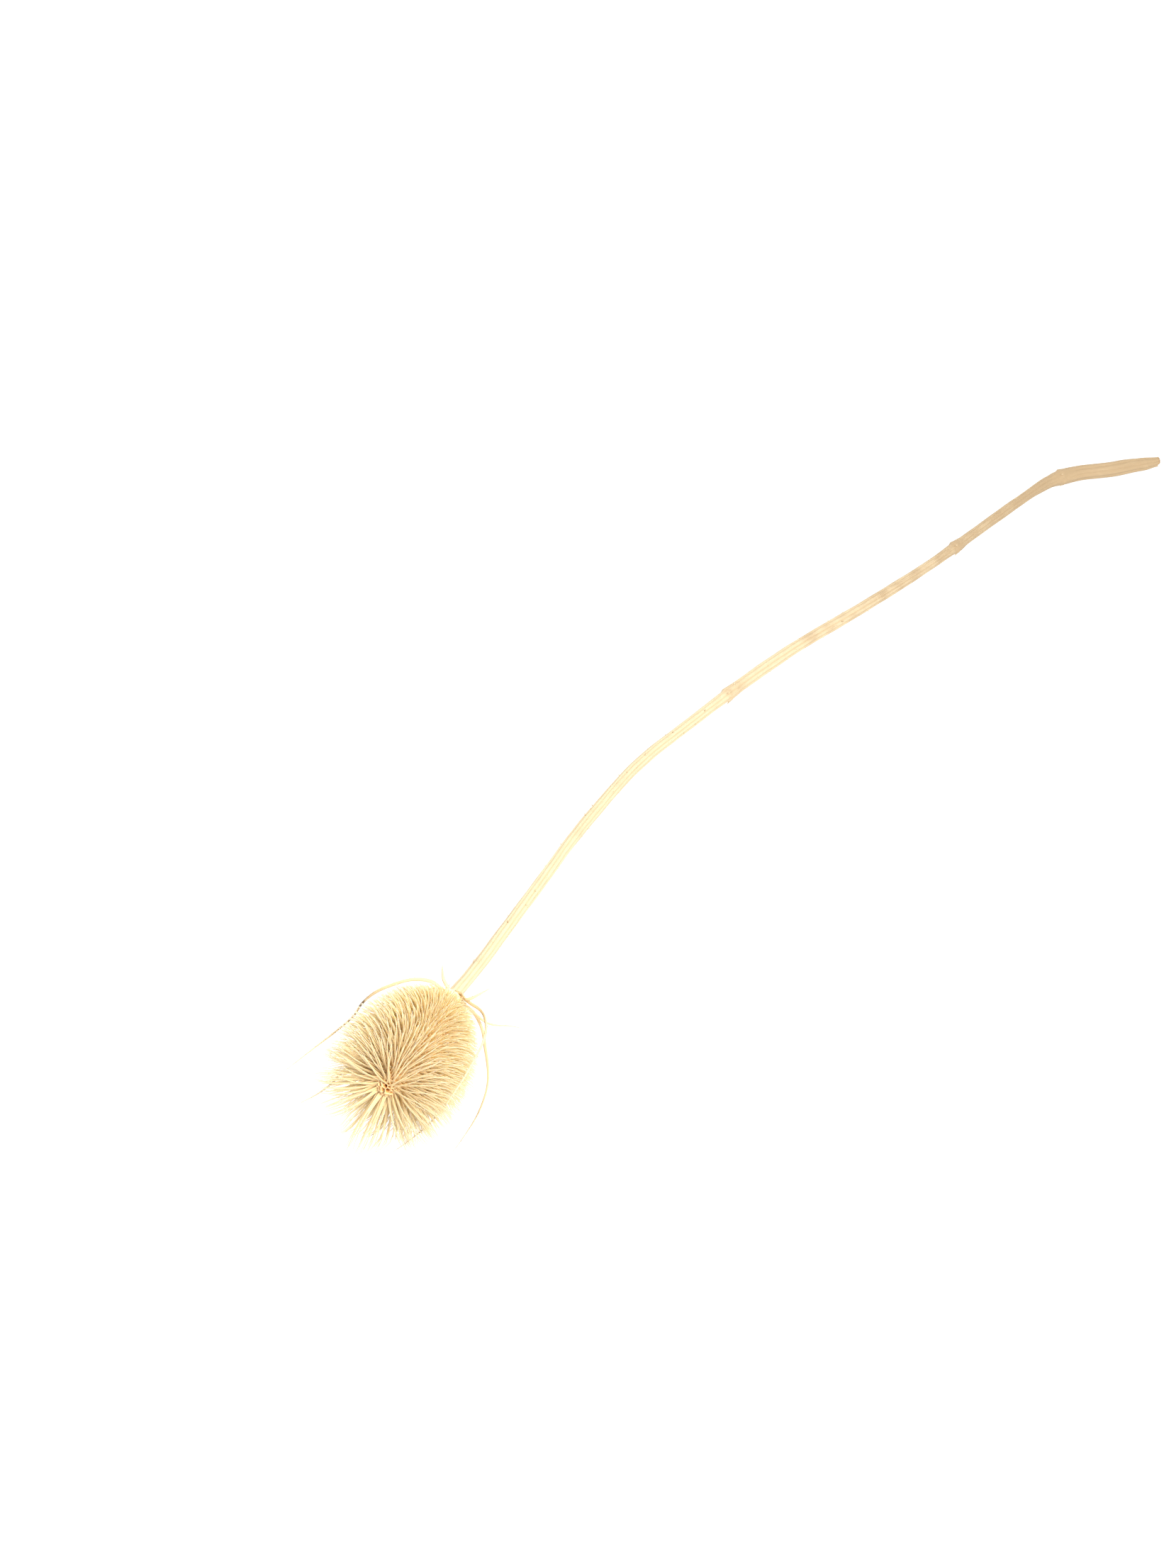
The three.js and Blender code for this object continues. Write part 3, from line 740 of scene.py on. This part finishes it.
def awn_lines(place, angle):
    """Each awn's centre line, its sideways and tipward directions, its length and its random number."""
    rng = np.random.default_rng(SEED + 1)
    count = len(place)
    skin = head_point(place * HEAD_LENGTH, ovoid_radius(place), angle)
    clump = np.array([drift(spot, AWN_WANDER_REACH) for spot in skin])
    tip_share = np.clip((place - 0.6) / 0.4, 0, 1)
    wander = AWN_WANDER + AWN_WANDER_TIP * tip_share
    back = np.clip((place - LYING_BACK_FROM[0]) / (LYING_BACK_FROM[1] - LYING_BACK_FROM[0]), 0, 1)
    above = back * np.clip(np.cos(angle - LYING_BACK_SIDE), 0, 1)
    below = back * np.clip(-np.cos(angle - LYING_BACK_SIDE), 0, 1) ** 2
    back = LYING_BACK * above - UNDER_FORWARD * below
    lean = table_value(AWN_ANGLES, place) + back + clump[:, 0] * wander + rng.normal(0, AWN_SCATTER, count)
    yaw = np.radians(clump[:, 1] * wander + rng.normal(0, AWN_SCATTER, count))
    lean = np.radians(lean)[:, None]
    around = roundwards(angle)
    pointing = outward(angle) * np.sin(lean) + TIPWARD * np.cos(lean)
    pointing = unit(pointing * np.cos(yaw)[:, None] + around * np.sin(yaw)[:, None])
    tipside = np.cross(around, pointing)
    tipside *= np.sign(tipside @ TIPWARD)[:, None]
    tipside = unit(tipside)
    across = unit(np.cross(pointing, tipside))
    uneven = rng.normal(0, 1, count) * (0.045 + 0.05 * tip_share)
    length = table_value(AWN_LENGTHS, place) * np.clip(0.97 - 0.02 * tip_share + uneven, 0.75, 1.0)
    length *= 1 + UNDER_LONGER * below - UPPER_SHORTER * above
    snapped = rng.random(count) < SNAPPED_SHARE
    length = np.where(snapped, length * rng.uniform(0.5, 0.8, count), length)
    s = np.array([row[0] for row in AWN_SECTION])
    bow = s * s - s
    curl = rng.normal(0.10, 0.07, count) - 0.34 * tip_share  # tip awns arch out, flank awns sweep forward
    sway = rng.normal(0, 0.06, count)
    foot = skin - AWN_FOOT * pointing
    reach = (length + AWN_FOOT)[:, None, None]
    lines = foot[:, None] + reach * (
        s[None, :, None] * pointing[:, None] + (curl[:, None] * bow)[..., None] * tipside[:, None]
        + (sway[:, None] * bow)[..., None] * across[:, None])
    return lines, across, tipside, length, rng.random(count), s


def tuft(lines, place, angle, s):
    """Neighbouring awns lean together at their points."""
    count = len(lines) // TUFT_SIZE
    chief, turn, _ = spread((np.arange(count) + 0.5) / count)
    turn = turn + np.random.default_rng(SEED + 3).normal(0, 0.12, count)
    chief = head_point(chief * HEAD_LENGTH, ovoid_radius(chief), turn)
    group = np.argmin(np.linalg.norm(lines[:, None, 0] - chief[None], axis=2), axis=1)
    members = np.maximum(np.bincount(group, minlength=count), 1)[:, None]
    middle = np.stack([np.bincount(group, lines[:, -1, k], count) for k in range(3)], 1) / members
    under = np.clip((place - 0.55) / 0.3, 0, 1) * np.clip(0.45 - np.cos(angle - LYING_BACK_SIDE), 0, 1)
    pull = TUFT_PULL[0] + (TUFT_PULL[1] - TUFT_PULL[0]) * under
    shift = (middle[group] - lines[:, -1]) * pull[:, None]
    return lines + (s ** 2)[None, :, None] * shift[:, None]


def comb_aside(lines, s):
    """Awns that a bract lies on are pushed to one side of it."""
    spots, ways, rooms = [], [], []
    for width, line in BRACTS.values():
        places, tangents, _, _, along = bract_frame(line, 90)
        spots.append(places)
        ways.append(tangents)
        rooms.append(bract_half_width(width, along / along[-1]) + BRACT_CLEARANCE)
    spots, ways, rooms = np.vstack(spots), np.vstack(ways), np.concatenate(rooms)
    for line in lines:
        gap = np.linalg.norm(line[:, None] - spots[None], axis=2) - rooms
        k, b = np.unravel_index(np.argmin(gap), gap.shape)
        if gap[k, b] < 0 and k > 1:
            side = np.cross(ways[b], line[-1] - line[0])
            side /= np.linalg.norm(side)
            side *= 1 if (line[k] - spots[b]) @ side >= 0 else -1
            share = np.clip(s / s[k], 0, 1)[:, None] ** 1.5
            line += share * side * -gap[k, b]
    return lines


def rest_on_table(lines):
    """Awns under the head bend as they come down to the table and lie along it."""
    steps = np.diff(lines, axis=1)
    for k in range(steps.shape[1]):
        step = steps[:, k]
        wanted = lines[:, k, 2] + step[:, 2] + TABLE_SINK
        eased = TABLE_EASE * np.exp(wanted / TABLE_EASE - 1) - TABLE_SINK
        low = wanted < TABLE_EASE
        drop = np.where(low, np.minimum(eased - lines[:, k, 2], 0), step[:, 2])
        flat = step[:, :2] + 1e-6
        run = np.sqrt(np.maximum(np.sum(step ** 2, axis=1) - drop ** 2, 0))
        level = np.where(low[:, None], unit(flat) * run[:, None], step[:, :2])
        lines[:, k + 1, :2] = lines[:, k, :2] + level
        lines[:, k + 1, 2] = lines[:, k, 2] + drop
    return lines


def build_awns(place, angle):
    lines, across, tipside, length, chance, s = awn_lines(place, angle)
    lines = rest_on_table(comb_aside(tuft(lines, place, angle, s), s))
    rng = np.random.default_rng(SEED + 2)
    width, keel, thick = (np.array([row[k] for row in AWN_SECTION])[None] for k in (1, 2, 3))
    stouter = 1 + 0.18 * np.clip((place - 0.7) / 0.3, 0, 1)  # towards the tip
    stout = (rng.uniform(0.78, 1.04, len(place)) * stouter)[:, None]
    width, keel, thick = width * stout, keel * stout, thick * stout
    # The section is a folded scoop with its keel to the neck, which closes to a bar along the shaft.
    side = np.stack([-width / 2, 0 * width, width / 2, width * 0.38, 0 * width, -width * 0.38], -1)
    high = np.stack(
        [0 * keel, -keel - thick / 2, 0 * keel, thick * 0.6, -keel + thick / 2, thick * 0.6], -1)
    rings = (lines[:, :, None] + side[..., None] * across[:, None, None]
             + high[..., None] * tipside[:, None, None])
    rings[..., 2] = np.maximum(rings[..., 2], 0.02)
    steps, sides = rings.shape[1:3]
    quads = ring_faces(steps, sides)
    ends = end_faces(steps, sides)
    starts = [band[1] for band in AWN_BANDS] + [1.01]
    for band, (name, start) in enumerate(AWN_BANDS):
        chosen = np.flatnonzero((place >= start) & (place < starts[band + 1]))
        chosen = chosen[chosen < len(place) - OPEN_CELLS]
        shell = Shell()
        for row, i in enumerate(chosen):
            tone = np.zeros((steps, sides, 3))
            tone[..., 0] = s[:, None]
            tone[..., 1] = chance[i]
            tone[..., 2] = place[i]
            grain = np.zeros((steps, sides, 3))
            grain[..., 0] = (s * length[i] * 0.5)[:, None] + 9.0 * chance[i]
            grain[..., 1] = side[i] * 6 + i
            grain[..., 2] = high[i] * 6
            low = (0.0, row / len(chosen))
            high_corner = (0.97, (row + 1) / len(chosen))
            quad_layout = ring_layout(steps, sides, low, high_corner).reshape(-1, 2)
            middle = (row + 0.5) / len(chosen)
            turn = np.linspace(0, 2 * math.pi, sides, endpoint=False)
            cap = np.stack([0.985 + 0.01 * np.cos(turn), middle + 0.4 / len(chosen) * np.sin(turn)], 1)
            shell.add(rings[i], [*quads, *ends], tone.reshape(-1, 3), grain.reshape(-1, 3),
                      np.vstack([quad_layout, cap, cap]))
        shell.piece(name, AWN_MATERIAL, "seed_head", "seed_head")


# ---------------------------------------------------------------- table, light and camera

def build_stage():
    mesh = bpy.data.meshes.new("table_top")
    reach = TABLE_REACH
    corners = [(-reach, -reach, 0), (reach, -reach, 0), (reach, reach, 0), (-reach, reach, 0)]
    mesh.from_pydata(corners, [], [(0, 1, 2, 3)])
    table = bpy.data.objects.new("table_top", mesh)
    bpy.context.scene.collection.objects.link(table)
    white = bpy.data.materials.new("table_white")
    white.use_nodes = True
    shader = white.node_tree.nodes["Principled BSDF"]
    shader.inputs["Base Color"].default_value = TABLE_COLOUR
    shader.inputs["Roughness"].default_value = 0.9
    shader.inputs["Specular IOR Level"].default_value = 0.1
    shader.inputs["Emission Color"].default_value = (1, 1, 1, 1)
    shader.inputs["Emission Strength"].default_value = TABLE_GLOW
    mesh.materials.append(white)


def aim(thing, place, target):
    thing.location = place
    thing.rotation_euler = (Vector(target) - Vector(place)).to_track_quat("-Z", "Y").to_euler()


def build_light():
    world = bpy.data.worlds.new("studio")
    world.use_nodes = True
    background = world.node_tree.nodes["Background"]
    background.inputs["Color"].default_value = WORLD_COLOUR
    background.inputs["Strength"].default_value = WORLD_STRENGTH
    bpy.context.scene.world = world
    head = Vector(NECK * MM)
    for name, size, energy, offset in LAMPS:
        lamp = bpy.data.lights.new(name, "AREA")
        lamp.shape = "DISK"
        lamp.size = size
        lamp.energy = energy
        lamp.color = LAMP_COLOUR
        holder = bpy.data.objects.new(name, lamp)
        bpy.context.scene.collection.objects.link(holder)
        aim(holder, head + Vector(offset), head)


def build_camera():
    lens = bpy.data.cameras.new("camera")
    lens.sensor_fit = "VERTICAL"
    lens.angle_y = math.radians(CAMERA_ANGLE)
    lens.clip_start = 0.01
    camera = bpy.data.objects.new("camera", lens)
    bpy.context.scene.collection.objects.link(camera)
    heading, drop = math.radians(CAMERA_HEADING), math.radians(CAMERA_DROP)
    view = Vector((math.cos(heading) * math.cos(drop), math.sin(heading) * math.cos(drop), -math.sin(drop)))
    place = Vector((NECK + CAMERA_FROM_NECK) * MM)
    aim(camera, place, place + view)
    bpy.context.scene.camera = camera


def build_teasel():
    build_stem()
    for number, (name, (width, line)) in enumerate(BRACTS.items()):
        build_bract(name, width, line, number)
    place, angle, pitch = cell_sites()
    build_core(place, angle, pitch)
    build_awns(place, angle)


build_teasel()
build_stage()
build_light()
build_camera()
bpy.context.scene.view_settings.view_transform = "Standard"
